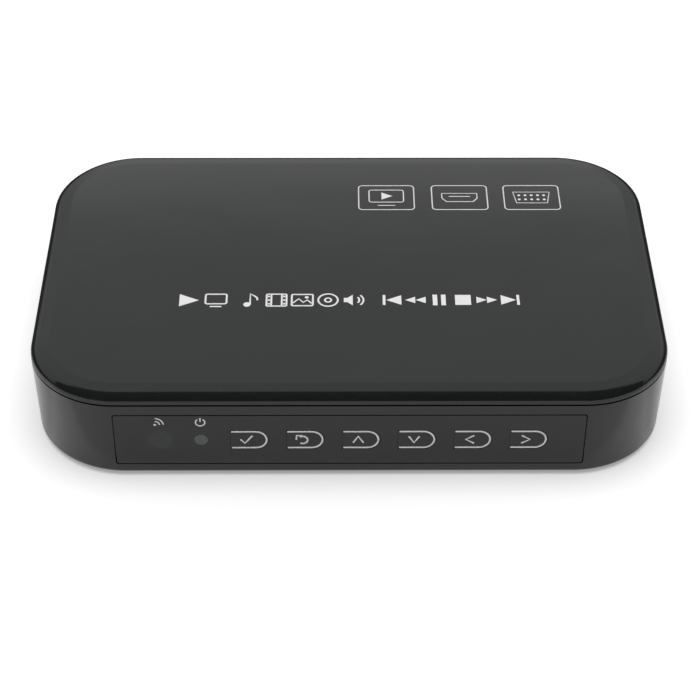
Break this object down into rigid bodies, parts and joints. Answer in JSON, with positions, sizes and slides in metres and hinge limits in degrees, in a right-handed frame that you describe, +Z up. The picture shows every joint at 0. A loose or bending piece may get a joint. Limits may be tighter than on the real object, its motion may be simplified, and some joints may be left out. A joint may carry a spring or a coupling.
{
  "type": "media player",
  "caption": "Thin rounded media player with a glossy domed cover, D-shaped cantilever keys in a smoked front strip and a hard-drive tray that slides out of its side.",
  "frame": {"origin": "on the ground, under the middle of the case", "axes": "+X to the viewer's right along the long side, front faces -Y, +Z up"},
  "size_m": [0.16, 0.1043, 0.0269],
  "materials": {
    "gloss_case": "gloss",
    "smoked_strip": "gloss",
    "lens": "satin",
    "circuit_board": "satin",
    "black_plastic": "matte",
    "pale_plastic": "matte",
    "led_body": "clear",
    "plated_steel": "plated",
    "aluminium": "satin",
    "rubber": "matte"
  },
  "bodies": {
    "case": {"top_cover": "gloss_case", "bottom_case": "gloss_case", "front_panel": "smoked_strip", "led_lens": "lens", "main_board": "circuit_board", "tact_switches": "black_plastic", "ir_receiver": "black_plastic", "main_chip": "black_plastic", "memory_chips": "black_plastic", "vga_insulator": "black_plastic", "hdmi_tongue": "black_plastic", "usb_tongue": "black_plastic", "av_jack": "black_plastic", "dc_jack": "black_plastic", "sata_socket": "black_plastic", "card_slot": "black_plastic", "cable_sockets": "pale_plastic", "power_led": "led_body", "hdmi_socket": "plated_steel", "usb_socket": "plated_steel", "vga_shell": "plated_steel", "vga_jack_nuts": "plated_steel", "case_screws": "plated_steel", "board_screws": "plated_steel", "dc_jack_pin": "plated_steel", "crystal": "plated_steel", "heat_sink": "aluminium", "capacitors": "aluminium", "rubber_feet": "rubber", "key_board": "circuit_board", "key_board_screws": "plated_steel", "key_cable": "pale_plastic"},
    "key_ok": {"key_ok": "smoked_strip"},
    "plunger_ok": {"plunger_ok": "pale_plastic"},
    "key_back": {"key_back": "smoked_strip"},
    "plunger_back": {"plunger_back": "pale_plastic"},
    "key_up": {"key_up": "smoked_strip"},
    "plunger_up": {"plunger_up": "pale_plastic"},
    "key_down": {"key_down": "smoked_strip"},
    "plunger_down": {"plunger_down": "pale_plastic"},
    "key_left": {"key_left": "smoked_strip"},
    "plunger_left": {"plunger_left": "pale_plastic"},
    "key_right": {"key_right": "smoked_strip"},
    "plunger_right": {"plunger_right": "pale_plastic"},
    "tray": {"drive_tray": "black_plastic", "tray_bezel": "gloss_case", "drive_screws": "plated_steel", "drive_base": "aluminium", "drive_lid": "aluminium", "drive_circuit": "circuit_board", "drive_connector": "black_plastic", "drive_lid_screws": "plated_steel"}
  },
  "joints": [
    {"name": "tray_slide", "type": "slide", "parent": "case", "child": "tray", "axis": [1, 0, 0], "range_m": [0, 0.11]},
    {"name": "key_ok_press", "type": "hinge", "parent": "case", "child": "key_ok", "pos_m": [-0.0295, -0.05123, 0.0123], "axis": [0, -0.0112, 0.9999], "range_deg": [0, 2.5], "stiffness_Nm_per_rad": 0.02},
    {"name": "plunger_ok_travel", "type": "slide", "parent": "case", "child": "plunger_ok", "axis": [0, 0.9999, 0.0112], "range_m": [0, 0.000275], "stiffness_N_per_m": 4000},
    {"name": "key_back_press", "type": "hinge", "parent": "case", "child": "key_back", "pos_m": [-0.0157, -0.05123, 0.0123], "axis": [0, -0.0112, 0.9999], "range_deg": [0, 2.5], "stiffness_Nm_per_rad": 0.02},
    {"name": "plunger_back_travel", "type": "slide", "parent": "case", "child": "plunger_back", "axis": [0, 0.9999, 0.0112], "range_m": [0, 0.000275], "stiffness_N_per_m": 4000},
    {"name": "key_up_press", "type": "hinge", "parent": "case", "child": "key_up", "pos_m": [-0.0019, -0.05123, 0.0123], "axis": [0, -0.0112, 0.9999], "range_deg": [0, 2.5], "stiffness_Nm_per_rad": 0.02},
    {"name": "plunger_up_travel", "type": "slide", "parent": "case", "child": "plunger_up", "axis": [0, 0.9999, 0.0112], "range_m": [0, 0.000275], "stiffness_N_per_m": 4000},
    {"name": "key_down_press", "type": "hinge", "parent": "case", "child": "key_down", "pos_m": [0.0119, -0.05123, 0.0123], "axis": [0, -0.0112, 0.9999], "range_deg": [0, 2.5], "stiffness_Nm_per_rad": 0.02},
    {"name": "plunger_down_travel", "type": "slide", "parent": "case", "child": "plunger_down", "axis": [0, 0.9999, 0.0112], "range_m": [0, 0.000275], "stiffness_N_per_m": 4000},
    {"name": "key_left_press", "type": "hinge", "parent": "case", "child": "key_left", "pos_m": [0.0257, -0.05123, 0.0123], "axis": [0, -0.0112, 0.9999], "range_deg": [0, 2.5], "stiffness_Nm_per_rad": 0.02},
    {"name": "plunger_left_travel", "type": "slide", "parent": "case", "child": "plunger_left", "axis": [0, 0.9999, 0.0112], "range_m": [0, 0.000275], "stiffness_N_per_m": 4000},
    {"name": "key_right_press", "type": "hinge", "parent": "case", "child": "key_right", "pos_m": [0.0395, -0.05123, 0.0123], "axis": [0, -0.0112, 0.9999], "range_deg": [0, 2.5], "stiffness_Nm_per_rad": 0.02},
    {"name": "plunger_right_travel", "type": "slide", "parent": "case", "child": "plunger_right", "axis": [0, 0.9999, 0.0112], "range_m": [0, 0.000275], "stiffness_N_per_m": 4000}
  ],
  "couplings": [
    {"joint": "key_ok_press", "follows": "plunger_ok_travel", "rad_per_m": 158.73},
    {"joint": "key_back_press", "follows": "plunger_back_travel", "rad_per_m": 158.73},
    {"joint": "key_up_press", "follows": "plunger_up_travel", "rad_per_m": 158.73},
    {"joint": "key_down_press", "follows": "plunger_down_travel", "rad_per_m": 158.73},
    {"joint": "key_left_press", "follows": "plunger_left_travel", "rad_per_m": 158.73},
    {"joint": "key_right_press", "follows": "plunger_right_travel", "rad_per_m": 158.73}
  ]
}
